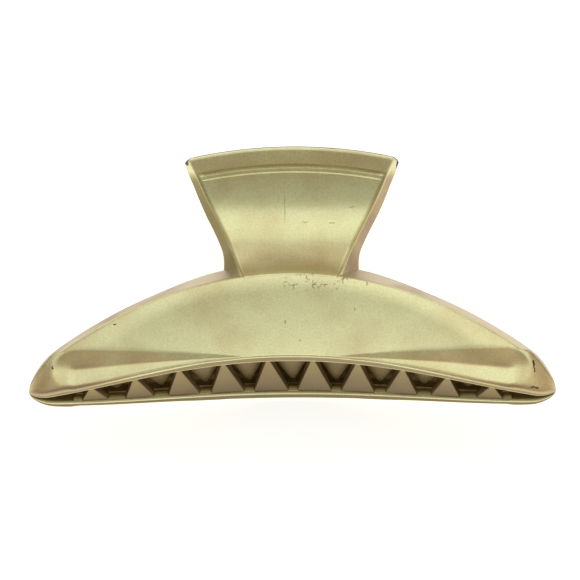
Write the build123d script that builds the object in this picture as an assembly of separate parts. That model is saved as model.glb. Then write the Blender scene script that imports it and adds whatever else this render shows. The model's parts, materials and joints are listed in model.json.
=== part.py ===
"""Plastic claw clip for hair: two bowed jaws with thumb handles, a hinge pin and a torsion spring.

Modelled standing, closed: X along the jaws, Z up to the handles, Y from the front jaw (-Y) to the
back jaw (+Y), the hinge above Y = 0. "Reach" is a distance from the plane Y = 0. The finished pieces
are then laid on the back jaw. All lengths are millimetres.
"""
import math
import os

from build123d import *

# Crescent shell of each jaw
half_length = 50.0
wall = 2.2
rim_width = 2.7
rim_depth = 3.5
rim_height = 6.3
rim_drop = 8.4
rim_ease = 0.44
rim_reach = 11.2
tip_reach = 3.6
bow_power = 1.32
crease_height = 22.9
crease_radius = 81.0
face_lean = 0.042
face_hollow = 0.4
tip_hollow = 0.05
shoulder = 4.2
shoulder_start = 12.0
shoulder_end = 28.0
tip_shoulder = 2.1
tip_round = 5.0
tip_flat = 0.32
parting_gap = 0.25

# Spoon-shaped recess at each end of the front of a jaw: its valley is level, its lower side
# follows the rim. Columns: share of the recess's length, of its rise, of its drop, of its depth
spoon_start = 5.0
spoon_end = 46.2
spoon_height = 6.4
spoon_rise = 4.2
spoon_drop = 3.6
spoon_depth = 1.15
spoon_clear = 0.4
spoon_sections = [
    # along, rise, drop, depth
    (0.00, 0.12, 0.15, -0.20),
    (0.25, 0.30, 0.50, 0.22),
    (0.50, 0.60, 0.90, 0.62),
    (0.75, 0.92, 1.00, 0.92),
    (0.90, 0.98, 0.95, 0.88),
    (1.00, 0.60, 0.60, -0.20),
]

# Thumb handle. The back one shows nowhere beside the front one, so it is the narrower
handle_wall = 2.6
waist_reach = 7.3
scoop_radius = 26.0
curl_radius = 10.0
curl_angle = 38.0
root_half_width = 9.0
lip_half_width = 19.8
back_narrowing = 3.0
side_hollow = 0.9
root_land = 0.6
root_half_span = 15.0
lip_radius = 92.0
lip_band = 3.1
step_width = 0.7
step_drop = 0.25
groove_width = 0.5
groove_drop = 0.2
root_splay = 0.75
lip_splay = 0.44

# Combs
pitch = 8.4
notches_each_side = 4
comb_wall = 1.8
comb_recess = 0.4
comb_gap = 0.2
comb_strip = 1.0
comb_root = 1.0
end_tooth_width = 3.8
root_inset = 0.5
notch_half_width = 0.7
end_notch_half_width = 1.6
tooth_tip_half_width = 0.35
point_half_width = 0.15
tooth_clearance = 0.4
point_clearance = 0.8

# Hinge
hinge_height = 27.5
pin_radius = 1.1
pin_clearance = 0.05
ear_radius = 3.0
ear_width = 1.6
ear_gap = 0.3
ear_web = 4.2
back_ear_offset = 8.0
pin_overhang = 0.4

# Torsion spring
wire_radius = 0.55
coil_radius = 2.6
coil_turns = 5.0
coil_pitch = 1.6
leg_length = 9.0
leg_gap = 0.15


def share(x):
    """Square of the distance along the jaw as a share of its half length."""
    return min(1.0, (x / half_length) ** 2)


def rim_reach_at(x):
    """Reach of the rim's outer edge: wide at the middle and bowed in to the tips."""
    return tip_reach + (rim_reach - tip_reach) * (1 - share(x)) ** bow_power


def rim_height_at(x):
    """Height of the rim: it falls with the squared distance, and levels out towards the tips."""
    return rim_height - rim_drop * share(x) * (1 - rim_ease * share(x))


def crease_height_at(x):
    """Height of the crease between the front of the jaw and its shoulder, an arc too."""
    return crease_height - crease_radius + math.sqrt(crease_radius ** 2 - x ** 2)


def crease_reach_at(x):
    """Reach of the crease: the front of the jaw leans out a little from the rim."""
    return rim_reach_at(x) + face_lean * (crease_height_at(x) - rim_height_at(x))


def shoulder_at(x):
    """Size of the shoulder's 45 degree slope: it swells at the handle's foot in a smooth cubic."""
    out = min(1.0, max(0.0, (abs(x) - shoulder_start) / (shoulder_end - shoulder_start)))
    return shoulder + (tip_shoulder - shoulder) * out * out * (3 - 2 * out)


def tip_share_at(x):
    """Height left at a section by the round end of the jaw, 1 before the end begins."""
    past = max(0.0, abs(x) - (half_length - tip_round)) / tip_round
    return max(tip_flat, math.sqrt(max(0.0, 1 - past ** 2)))


def shell_section(x):
    """Closed outline of the front jaw's shell across X: rim, front, shoulder and inner wall."""
    out = rim_reach_at(x)
    low = rim_height_at(x)
    top = crease_height_at(x)
    crease = crease_reach_at(x)
    slope = shoulder_at(x)
    inner_drop = wall * math.tan(math.radians(22.5))
    edge_drop = wall * math.sqrt(0.5)
    middle_height = (low + top) / 2
    hollow = tip_hollow + (face_hollow - tip_hollow) * (1 - share(x))
    middle = (out + crease) / 2 - hollow
    outline = {
        "rim_inner": (out - rim_width, low),
        "rim_outer": (out, low),
        "face_middle": (middle, middle_height),
        "crease": (crease, top),
        "shoulder_top": (crease - slope, top + slope),
        "inner_top": (crease - slope - edge_drop, top + slope - edge_drop),
        "inner_crease": (crease - wall, top - inner_drop),
        "rim_back": (out - wall, min(low + rim_depth + 1.0, top - inner_drop - 0.3)),
        "rim_step": (out - rim_width, min(low + rim_depth, top - inner_drop - 0.8)),
    }
    keep = tip_share_at(x)
    closed = parting_gap / 2
    placed = {}
    for name, (reach, height) in outline.items():
        reach = max(closed + 0.02, reach)
        placed[name] = Vector(x, -reach, middle_height + (height - middle_height) * keep)
    return placed


def shell_wire(x):
    """The section as one closed wire of lines and one arc."""
    p = shell_section(x)
    return Wire([
        Line(p["rim_inner"], p["rim_outer"]).edge(),
        ThreePointArc(p["rim_outer"], p["face_middle"], p["crease"]).edge(),
        Line(p["crease"], p["shoulder_top"]).edge(),
        Line(p["shoulder_top"], p["inner_top"]).edge(),
        Line(p["inner_top"], p["inner_crease"]).edge(),
        Line(p["inner_crease"], p["rim_back"]).edge(),
        Line(p["rim_back"], p["rim_step"]).edge(),
        Line(p["rim_step"], p["rim_inner"]).edge(),
    ])


def make_shell():
    """Crescent shell, lofted through sections that stand closer towards the round tips."""
    shares = [0.0, 0.14, 0.26, 0.36, 0.46, 0.58, 0.74, 0.86, 0.93, 0.975, 1.0]
    stations = [-half_length * s for s in reversed(shares[1:])] + [half_length * s for s in shares]
    return Solid.make_loft([shell_wire(x) for x in stations], ruled=False)


def face_reach_at(x, height):
    """Reach of the slightly hollow front of the jaw at a height."""
    low = rim_height_at(x)
    top = crease_height_at(x)
    up = (height - low) / (top - low)
    hollow = tip_hollow + (face_hollow - tip_hollow) * (1 - share(x))
    return rim_reach_at(x) + (crease_reach_at(x) - rim_reach_at(x)) * up - 4 * hollow * up * (1 - up)


def spoon_wire(along, rise, drop, depth):
    """One section of the recess's cutter: an arc that dips into the wall, closed in front of it."""
    x = spoon_start + (spoon_end - spoon_start) * along
    top = spoon_height + spoon_rise * rise
    low = max(rim_height_at(x), spoon_height - spoon_drop * drop)
    front = face_reach_at(x, top) + rim_width
    upper = Vector(x, -face_reach_at(x, top) - spoon_clear, top)
    valley = Vector(x, -face_reach_at(x, spoon_height) + spoon_depth * depth, spoon_height)
    lower = Vector(x, -face_reach_at(x, low) - spoon_clear, low)
    return Wire([
        ThreePointArc(upper, valley, lower).edge(),
        Line(lower, (x, -front, low)).edge(),
        Line((x, -front, low), (x, -front, top)).edge(),
        Line((x, -front, top), upper).edge(),
    ])


def make_spoon():
    """Cutter for the recess at the +X end."""
    return Solid.make_loft([spoon_wire(*row) for row in spoon_sections], ruled=False)


# Profile of the handle's face: a long scoop up from the crease to the waist, a curl outward, and a
# straight run that ends on the line through the rim and the crease, on which the clip can lie
crease_reach = crease_reach_at(0)
scoop_angle = math.acos(1 - (crease_reach - waist_reach) / scoop_radius)
waist_height = crease_height + scoop_radius * math.sin(scoop_angle)
curl = math.radians(curl_angle)
curl_end_reach = waist_reach + curl_radius * (1 - math.cos(curl))
curl_end_height = waist_height + curl_radius * math.sin(curl)
line_reach_at_curl = rim_reach + face_lean * (curl_end_height - rim_height)
lip_run = (line_reach_at_curl - curl_end_reach) / (math.sin(curl) - face_lean * math.cos(curl))
lip_reach = curl_end_reach + lip_run * math.sin(curl)
lip_height = curl_end_height + lip_run * math.cos(curl)


def scoop_point(angle, inset):
    """Point of the scoop where its face looks up by an angle, set in from the face."""
    spread = scoop_radius + inset
    return Vector(0, -(waist_reach + scoop_radius - spread * math.cos(angle)),
                  waist_height - spread * math.sin(angle))


def curl_point(angle, inset):
    """Point of the curl where its face looks down by an angle, set in from the face."""
    spread = curl_radius + inset
    return Vector(0, -(waist_reach + curl_radius - spread * math.cos(angle)),
                  waist_height + spread * math.sin(angle))


def lip_point(run, inset):
    """Point of the straight run, measured up from the curl, set in from the face."""
    end = curl_point(curl, inset)
    return end + Vector(0, -run * math.sin(curl), run * math.cos(curl))


def handle_reach_at(height):
    """Reach of the handle's face at a height."""
    if height < waist_height:
        angle = math.asin(min(0.95, (waist_height - height) / scoop_radius))
        return waist_reach + scoop_radius * (1 - math.cos(angle))
    if height < curl_end_height:
        angle = math.asin((height - waist_height) / curl_radius)
        return waist_reach + curl_radius * (1 - math.cos(angle))
    return curl_end_reach + (height - curl_end_height) * math.tan(curl)


def handle_half_width_at(height):
    """Half width of the handle's face: the sides spread upward and are slightly hollow."""
    up = (height - crease_height) / (lip_height - crease_height)
    return root_half_width + (lip_half_width - root_half_width) * up - 4 * side_hollow * up * (1 - up)


def side_cutter_wire(height, narrowing):
    """Level outline beside the handle's +X side, which spreads towards the back."""
    up = min(1.0, max(0.0, (height - crease_height) / (lip_height - crease_height)))
    splay = root_splay + (lip_splay - root_splay) * up
    x = handle_half_width_at(height) - narrowing
    y = -handle_reach_at(height)
    front = rim_width
    back = 3 * handle_wall
    far = half_length
    return Wire.make_polygon([
        Vector(x - splay * front, y - front, height),
        Vector(x + splay * back, y + back, height),
        Vector(far, y + back, height),
        Vector(far, y - front, height),
    ], close=True)


def make_ring(profile):
    """Solid of a profile turned about the middle of the lip's arc, in the plane of the lip."""
    out = Vector(0, -math.cos(curl), -math.sin(curl))
    up = Vector(0, -math.sin(curl), math.cos(curl))
    centre = Vector(0, -lip_reach, lip_height) - up * lip_radius
    corners = [centre + up * radius + out * rise for radius, rise in profile]
    face = Face(Wire.make_polygon(corners, close=True))
    spread = 30
    axis = Axis(centre, out)
    return revolve(face.rotate(axis, -spread / 2), axis, spread)


def make_handle(narrowing):
    """Thumb handle: an even wall along X, cut to its fan shape, with a stepped lip. The narrowing is
    taken off each side."""
    low = scoop_angle + math.radians(4)
    t = handle_wall
    over = 1.0
    profile = Wire([
        ThreePointArc(scoop_point(low, 0), scoop_point(low / 2, 0), scoop_point(0, 0)).edge(),
        ThreePointArc(curl_point(0, 0), curl_point(curl / 2, 0), curl_point(curl, 0)).edge(),
        Line(lip_point(0, 0), lip_point(lip_run + over, 0)).edge(),
        Line(lip_point(lip_run + over, 0), lip_point(lip_run + over, t)).edge(),
        Line(lip_point(lip_run + over, t), lip_point(0, t)).edge(),
        ThreePointArc(curl_point(curl, t), curl_point(curl / 2, t), curl_point(0, t)).edge(),
        ThreePointArc(scoop_point(0, t), scoop_point(low / 2, t), scoop_point(low, t)).edge(),
        Line(scoop_point(low, t), scoop_point(low, 0)).edge(),
    ])
    spare = 6.0
    half = lip_half_width + spare
    handle = extrude(Face(profile).moved(Location((-half, 0, 0))), 2 * half, dir=(1, 0, 0))

    first = crease_height - spare
    last = lip_height + spare
    levels = [first + (last - first) * i / 8 for i in range(9)]
    side = Solid.make_loft([side_cutter_wire(z, narrowing) for z in levels], ruled=False)
    handle -= side
    handle -= mirror(side, Plane.YZ)

    lip_start = lip_radius - lip_band
    groove_start = lip_start - groove_width
    step_start = groove_start - step_width
    beyond = lip_radius + 2 * spare
    handle -= make_ring([(lip_radius, -spare), (beyond, -spare), (beyond, spare), (lip_radius, spare)])
    handle -= make_ring([
        (step_start, spare),
        (step_start, -step_drop),
        (groove_start, -step_drop),
        (groove_start, -2 * step_drop - groove_drop),
        (lip_start, -2 * step_drop - groove_drop),
        (lip_start, -2 * step_drop),
        (lip_radius, 0),
        (lip_radius, spare),
    ])

    # The foot of the scoop ends inside the wall, behind the crease of the bowed shell
    span = root_half_span
    land = crease_reach_at(span) - root_land
    far = crease_reach + spare
    bow = ThreePointArc((-span, -land), (0, root_land - crease_reach), (span, -land)).edge()
    front = Wire([
        bow,
        Line((span, -land), (span, -far)).edge(),
        Line((span, -far), (-span, -far)).edge(),
        Line((-span, -far), (-span, -land)).edge(),
    ])
    foot = Face(front).moved(Location((0, 0, first)))
    handle -= extrude(foot, crease_height + handle_wall - first, dir=(0, 0, 1))
    return handle


def make_comb_band(drop, depth):
    """Curved sheet that follows the rim: its lower side stands above the rim by drop."""
    span = half_length - rim_width
    stations = [span * (i / 6 - 1) for i in range(13)]
    low = [Vector(x, 0, rim_height_at(x) + drop) for x in stations]
    high = [point + Vector(0, 0, depth) for point in reversed(low)]
    face = Face(Wire([
        Spline(*low).edge(),
        Line(low[-1], high[0]).edge(),
        Spline(*high).edge(),
        Line(high[-1], low[0]).edge(),
    ]))
    return extrude(face.moved(Location((0, -rim_reach, 0))), 2 * rim_reach, dir=(0, 1, 0))


def notch_root_at(x):
    """Reach of the closed end of a notch of the back comb: nearer the rim towards the tips."""
    inner = rim_reach_at(x) - rim_width
    reach = (notches_each_side * pitch) ** 2
    return inner - root_inset * max(0.0, 1 - x ** 2 / reach)


def make_back_comb():
    """Comb of the back jaw: blunt teeth with notches between them, reaching to the front rim."""
    zigzag = []
    for i in range(-notches_each_side - 1, notches_each_side + 1):
        tooth = (i + 0.5) * pitch
        tip = -(rim_reach_at(tooth) - rim_width - tooth_clearance)
        zigzag += [(tooth - tooth_tip_half_width, tip), (tooth + tooth_tip_half_width, tip)]
        if i < notches_each_side:
            notch = (i + 1) * pitch
            off = min(1.0, abs(i + 1) / notches_each_side)
            half = notch_half_width + (end_notch_half_width - notch_half_width) * off ** 2
            zigzag += [(notch - half, notch_root_at(notch)), (notch + half, notch_root_at(notch))]
    end = (notches_each_side + 0.5) * pitch + end_tooth_width
    stations = [end * (1 - i / 6) for i in range(13)]
    back = [(x, rim_reach_at(x) - rim_width + comb_root) for x in stations]
    plan = Wire.make_polygon([Vector(x, y, 0) for x, y in zigzag + back], close=True)
    teeth = extrude(Face(plan), crease_height, dir=(0, 0, 1))
    return teeth & make_comb_band(comb_recess, comb_wall)


def make_front_comb():
    """Comb of the front jaw: pointed teeth above the notches of the back comb."""
    zigzag = []
    for i in range(-notches_each_side, notches_each_side + 1):
        x = i * pitch
        tip = notch_root_at(x) - point_clearance
        zigzag += [(x - point_half_width, tip), (x + point_half_width, tip)]
        valley = x + pitch / 2
        if i < notches_each_side:
            zigzag.append((valley, -(rim_reach_at(valley) - rim_width - comb_strip)))
    end = (notches_each_side + 0.5) * pitch
    foot = -(rim_reach_at(end) - rim_width - comb_strip / 2)
    stations = [end * (1 - i / 6) for i in range(13)]
    back = [(x, -(rim_reach_at(x) - rim_width + comb_root)) for x in stations]
    outline = [(-end, foot)] + zigzag + [(end, foot)] + back
    plan = Wire.make_polygon([Vector(x, y, 0) for x, y in outline], close=True)
    teeth = extrude(Face(plan), crease_height, dir=(0, 0, 1))
    return teeth & make_comb_band(comb_recess + comb_wall + comb_gap, comb_wall)


def make_ears(offset, side):
    """Two hinge ears between the pin and the foot of a handle, side -1 in front and +1 behind."""
    upper = hinge_height + ear_radius / 2
    lower = hinge_height - ear_web
    web = Wire.make_polygon([
        Vector(0, 0, hinge_height + ear_radius),
        Vector(0, side * (handle_reach_at(upper) - handle_wall / 2), upper),
        Vector(0, side * (handle_reach_at(lower) - handle_wall / 2), lower),
        Vector(0, 0, hinge_height - ear_radius),
    ], close=True)
    ear = extrude(Face(web), ear_width, dir=(1, 0, 0))
    ear += Pos(ear_width / 2, 0, hinge_height) * Rot(0, 90, 0) * Cylinder(ear_radius, ear_width)
    left = Pos(-offset - ear_width / 2, 0, 0) * ear
    right = Pos(offset - ear_width / 2, 0, 0) * ear
    return left + right


def make_pin_solid(radius, length):
    """Cylinder on the hinge axis."""
    return Pos(0, 0, hinge_height) * Rot(0, 90, 0) * Cylinder(radius, length)


def make_blank(narrowing):
    """Shell with its handle and recesses, as both jaws have it, in the front jaw's place."""
    blank = make_shell() + make_handle(narrowing)
    spoon = make_spoon()
    return blank - spoon - mirror(spoon, Plane.YZ)


def make_torsion_spring():
    """Coil round the pin; each end leaves on a tangent and leans on the inside of one handle."""
    stand = handle_reach_at(hinge_height + leg_length) - handle_wall - wire_radius - leg_gap
    lean = math.asin((stand - coil_radius) / leg_length)
    first = math.pi + lean
    turn = 2 * math.pi * coil_turns + math.pi - 2 * lean
    coil_height = coil_pitch * turn / (2 * math.pi)
    place = Plane(
        origin=(-coil_height / 2, 0, hinge_height),
        x_dir=(0, math.cos(first), math.sin(first)),
        z_dir=(1, 0, 0),
    )
    helix = place.from_local_coords(Helix(coil_pitch, coil_height, coil_radius))
    start = helix.position_at(0)
    end = helix.position_at(1)
    start_run = helix.tangent_at(0)
    end_run = helix.tangent_at(1)
    ring = Face(Wire(Plane(origin=start, z_dir=start_run) * Edge.make_circle(wire_radius)))
    coil = sweep(ring, path=helix, is_frenet=True)
    first_leg = Plane(origin=start - start_run * leg_length, z_dir=start_run)
    last_leg = Plane(origin=end, z_dir=end_run)
    leg = Solid.make_cylinder(wire_radius, leg_length)
    return coil + first_leg.location * leg + last_leg.location * leg


front_ear_offset = back_ear_offset - ear_width - ear_gap
bore = make_pin_solid(pin_radius + pin_clearance, 2 * half_length)
back_blank = mirror(make_blank(back_narrowing), Plane.XZ)
pieces = {
    "front_jaw": make_blank(0) + make_front_comb() + make_ears(front_ear_offset, -1) - bore,
    "back_jaw": back_blank + make_back_comb() + make_ears(back_ear_offset, 1) - bore,
    "hinge_pin": make_pin_solid(pin_radius, 2 * (back_ear_offset + ear_width / 2 + pin_overhang)),
    "torsion_spring": make_torsion_spring(),
}

# Laid on the back jaw: rim, crease and lip touch the surface, the handles point to +Y
tilt = math.degrees(math.atan(face_lean))
laid = {name: Rot(-(90 - tilt), 0, 0) * piece for name, piece in pieces.items()}
box = Compound(children=[Compound(children=list(piece.solids())) for piece in laid.values()]).bounding_box()
to_origin = Pos(0, -(box.min.Y + box.max.Y) / 2, -box.min.Z)

os.makedirs("parts", exist_ok=True)
for name, piece in laid.items():
    placed = to_origin * piece
    export_step(placed, f"parts/{name}.step")
    print(name, len(placed.solids()), "solids", round(placed.volume, 1), "mm3", placed.is_valid)

hinge = to_origin * Rot(-(90 - tilt), 0, 0) * Pos(0, 0, hinge_height)
print("hinge at", hinge.position, "box", box.size, "lip height", round(lip_height, 2), "tilt", round(tilt, 3))
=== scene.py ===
import json
import math

import bmesh
import bpy
import numpy as np
from mathutils import Matrix


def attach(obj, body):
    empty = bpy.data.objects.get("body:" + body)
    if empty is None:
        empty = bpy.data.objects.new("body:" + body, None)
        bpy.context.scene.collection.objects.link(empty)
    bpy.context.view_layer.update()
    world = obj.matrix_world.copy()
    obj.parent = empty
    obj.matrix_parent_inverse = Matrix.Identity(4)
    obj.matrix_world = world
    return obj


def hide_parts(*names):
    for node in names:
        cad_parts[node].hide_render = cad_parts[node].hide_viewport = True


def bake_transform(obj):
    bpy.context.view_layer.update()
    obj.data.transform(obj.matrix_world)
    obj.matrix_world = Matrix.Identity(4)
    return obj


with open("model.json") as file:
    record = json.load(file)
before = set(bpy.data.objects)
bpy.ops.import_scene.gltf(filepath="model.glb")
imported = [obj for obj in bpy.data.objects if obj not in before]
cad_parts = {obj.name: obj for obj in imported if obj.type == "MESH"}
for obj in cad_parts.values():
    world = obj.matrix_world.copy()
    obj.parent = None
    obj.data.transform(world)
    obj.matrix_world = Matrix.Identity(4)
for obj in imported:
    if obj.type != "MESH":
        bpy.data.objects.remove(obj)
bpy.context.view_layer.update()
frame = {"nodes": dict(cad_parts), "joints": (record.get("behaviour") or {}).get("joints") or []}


# The crescent shells: a bowed wall for each jaw, moulded in dark brown ABS and sprayed satin gold, with
# a rim, a hollow front, a recess at each end, a crease and a shoulder. Measures are in mm, of the clip
# on its jaws: reach is out from the parting plane, and a pair is where a change starts and ends.
half_length = 50.0
wall = 2.2
rim_width = 2.7
rim_depth = 3.5
rim_height = 6.3
rim_drop = 8.4
rim_ease = 0.44
rim_reach = 11.2
tip_reach = 3.6
bow_power = 1.32
crease_height = 22.9
crease_radius = 81.0
face_lean = 0.042
face_hollow = 0.4
tip_hollow = 0.05
shoulder = 4.2
shoulder_run = (12.0, 28.0)
tip_shoulder = 2.7
tip_round = 4.5
tip_power = 2.05
tip_plan_round = 6.5
parting_gap = 0.25
parting_room = 0.02
rim_edge = 0.28
rim_edge_outer = 0.5
rim_edge_at_tip = 1.0
rim_edge_growth = (14.0, 24.0)
rim_inner_edge = 0.35
rim_step_edge = 0.4
rim_step_rise = 1.0
least_inner_face = 0.3
least_step_face = 0.8
crease_edge = 0.6
crease_edge_at_tip = 1.4
crease_inner_edge = 1.0
shoulder_edge = 0.8
shoulder_back_edge = 0.5
crown_run = 3.4
crown_run_at_tip = 6.0
crown_drop = 0.42
crown_drop_at_tip = 0.75
crown_growth = (0.1, 0.6)
tip_growth = (0.45, 0.95)
recess_start = 9.0
recess_full = 40.5
recess_end = 45.1
recess_valley = 6.4
valley_climb = 0.3
valley_climb_run = (15.0, 32.0)
recess_rise = 3.9
recess_depth = 1.15
recess_growth = 0.8
recess_rim_share = 0.6
rim_share_run = (0.45, 0.0)
end_floor = 0.5
end_floor_run = (0.0, 0.8)
end_shallowing = 0.2
end_shallow_run = (35.0, 43.0)
rim_ledge = 0.4
valley_round = 0.1
brow_round = 0.09
hinge_height = 27.5
tilt = math.atan(face_lean)
hinge = np.array(frame["joints"][0]["pos_m"])


def lay(x, y, height):
    """Places in metres of standing places in mm: turned about the hinge until the back jaw lies flat."""
    x, y, height = np.broadcast_arrays(x, y, height)
    up = height - hinge_height
    along = math.sin(tilt) * y + math.cos(tilt) * up
    rise = math.sin(tilt) * up - math.cos(tilt) * y
    return np.stack([x, along, rise], -1) * 0.001 + hinge


def share(x):
    """Square of the distance along the jaw as a share of its half length."""
    return np.minimum(1.0, (x / half_length) ** 2)


def rim_reach_at(x):
    """Reach of the rim's outer edge: its widest less a power of the squared distance."""
    return tip_reach + (rim_reach - tip_reach) * (1 - share(x)) ** bow_power


def rim_height_at(x):
    """Height of the rim: it falls with the squared distance, and levels out towards the tips."""
    return rim_height - rim_drop * share(x) * (1 - rim_ease * share(x))


def crease_height_at(x):
    """Height of the crease: a circle's arc."""
    return crease_height - crease_radius + np.sqrt(crease_radius ** 2 - x ** 2)


def crease_reach_at(x):
    """Reach of the crease: the rim's reach, more by the lean of the front."""
    return rim_reach_at(x) + face_lean * (crease_height_at(x) - rim_height_at(x))


def smooth(low, high, value):
    """0 below low, 1 above high, and a cubic between them."""
    t = np.clip((value - low) / (high - low), 0, 1)
    return t * t * (3 - 2 * t)


def spread(count):
    """Shares of a straight run at which a count of points stands, all at one spacing."""
    return [(i + 1) / (count + 1) for i in range(count)]


def rounded(corners, radii, steps, between):
    """Closed outlines with round corners. corners is (corner, outline, 2). Each corner becomes a
    circle's arc as a rational quadratic curve, and each straight run after it gets its points at the
    shares listed for it, so the result is (outline, point, 2)."""
    before = np.roll(corners, 1, 0) - corners
    after = np.roll(corners, -1, 0) - corners
    run_before = np.linalg.norm(before, axis=-1)
    run_after = np.linalg.norm(after, axis=-1)
    a = before / np.maximum(run_before, 1e-9)[..., None]
    b = after / np.maximum(run_after, 1e-9)[..., None]
    half_turn = 0.5 * np.arccos(np.clip(-(a * b).sum(-1), -1, 1))
    cut = np.minimum(radii * np.tan(half_turn), 0.45 * np.minimum(run_before, run_after))
    start = corners + a * cut[..., None]
    end = corners + b * cut[..., None]
    weight = np.cos(half_turn)[..., None]
    rows = []
    for k in range(len(corners)):
        for t in np.linspace(0, 1, steps + 1):
            p, q, r = (1 - t) ** 2, 2 * t * (1 - t) * weight[k], t * t
            rows.append((p * start[k] + q * corners[k] + r * end[k]) / (p + q + r))
        target = start[(k + 1) % len(corners)]
        for f in between[k]:
            f = np.asarray(f)
            f = f[:, None] if f.ndim else f
            rows.append(end[k] * (1 - f) + target * f)
    return np.stack(rows, 1)


weld = 1e-7


def piece(name, grids, spray_and_painted_light, body, material):
    """Closed skins in one mesh. grids is (skin, row, point, 3): each row is joined round into a loop
    and to the next row, and a first or last row drawn together to a point closes its end."""
    count, rows, cols = grids.shape[:3]
    index = np.arange(count * rows * cols).reshape(count, rows, cols)
    index = np.concatenate([index, index[:, :, :1]], 2)
    quads = np.stack([index[:, :-1, :-1], index[:, :-1, 1:], index[:, 1:, 1:], index[:, 1:, :-1]], -1)
    quads = quads.reshape(-1, 4)
    points = grids.reshape(-1, 3)
    middle = points - points.mean(0)
    a, b, c, d = (middle[quads[:, k]] for k in range(4))
    volume = (np.cross(a, b) * c).sum() + (np.cross(a, c) * d).sum()
    if volume < 0:
        quads = quads[:, ::-1]
    mesh = bpy.data.meshes.new(name)
    mesh.from_pydata(points.tolist(), [], quads.tolist())
    # Each point carries its spray value, with painted shade, highlight and reflection mixed into it.
    layer = mesh.attributes.new("spray_and_painted_light", "FLOAT", "POINT")
    layer.data.foreach_set("value", np.broadcast_to(spray_and_painted_light, grids.shape[:3]).ravel().astype(np.float32))
    skin = bmesh.new()
    skin.from_mesh(mesh)
    bmesh.ops.remove_doubles(skin, verts=skin.verts, dist=weld)
    bmesh.ops.dissolve_degenerate(skin, edges=skin.edges, dist=weld)
    skin.to_mesh(mesh)
    skin.free()
    mesh.polygons.foreach_set("use_smooth", np.ones(len(mesh.polygons), bool))
    mesh.materials.append(material)
    obj = bpy.data.objects.new(name, mesh)
    bpy.context.scene.collection.objects.link(obj)
    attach(obj, body)
    return obj


def linear(hex_colour):
    """An sRGB hex colour as linear red, green, blue and alpha."""
    values = [int(hex_colour[i:i + 2], 16) / 255 for i in (1, 3, 5)]
    return [v / 12.92 if v <= 0.04045 else ((v + 0.055) / 1.055) ** 2.4 for v in values] + [1.0]


def add(tree, kind, inputs=(), **settings):
    """A node with its settings, and its inputs as pairs of a socket and a value or another socket."""
    node = tree.nodes.new(kind)
    for key, value in settings.items():
        setattr(node, key, value)
    for socket, value in inputs:
        if isinstance(value, bpy.types.NodeSocket):
            tree.links.new(value, node.inputs[socket])
        else:
            node.inputs[socket].default_value = value
    return node


def ramp(tree, value, stops):
    """A colour ramp over a value, from pairs of a place and a colour."""
    node = add(tree, "ShaderNodeValToRGB", [(0, value)])
    marks = node.color_ramp.elements
    while len(marks) < len(stops):
        marks.new(0.5)
    for mark, (place, colour) in zip(marks, stops):
        mark.position = place
        mark.color = colour
    return node.outputs[0]


# Where the lacquer is worn away, in mm: each spot is a centre and three radii. Chips go down to the
# plastic, scuffs are lighter scratches, and the crackle is a patch of fine cracks along the crease.
chips = [
    (20.4, 21.3, 23.1, 1.0, 1.0, 1.3),
    (20.6, 20.0, 22.0, 0.45, 1.6, 1.5),
    (-20.3, 20.5, 23.3, 0.9, 0.8, 1.0),
    (-18.6, 21.7, 23.2, 0.9, 0.35, 0.6),
    (7.8, 22.5, 24.7, 1.3, 0.3, 0.6),
    (-33.3, -11.8, 18.6, 0.3, 0.16, 0.4),
    (-45.2, -19.2, 15.1, 0.22, 0.45, 0.5),
    (45.7, -18.7, 15.0, 0.2, 0.9, 0.7),
    (45.8, -19.9, 15.0, 0.16, 0.6, 0.6),
    (45.6, -23.6, 14.9, 1.1, 0.16, 0.8),
]
scuffs = [
    (12.1, -10.6, 22.3, 0.15, 0.4, 0.4),
    (11.6, 12.2, 19.9, 0.6, 0.14, 0.4),
    (2.6, 9.0, 19.8, 0.8, 0.13, 0.4),
    (7.8, 8.8, 19.8, 0.7, 0.13, 0.4),
    (-1.3, 11.5, 20.2, 0.09, 3.2, 1.2),
    (-0.9, -13.3, 22.6, 0.16, 0.5, 0.5),
    (1.9, -16.9, 22.4, 0.16, 0.4, 0.5),
    (14.4, -5.4, 22.4, 0.2, 0.5, 0.5),
]
crackle = (5.5, -5.3, 23.2, 9.0, 2.2, 1.6)


def inside_spot(tree, place, spot):
    """Distance from a spot's centre as a share of its three radii: 1 on its edge. In mm."""
    centre, radii = np.array(spot[:3]), np.array(spot[3:])
    around = add(tree, "ShaderNodeMapping", [
        ("Vector", place), ("Location", tuple(-centre / radii)), ("Scale", tuple(1000 / radii))])
    return add(tree, "ShaderNodeVectorMath", [(0, around.outputs[0])], operation="LENGTH").outputs["Value"]


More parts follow.
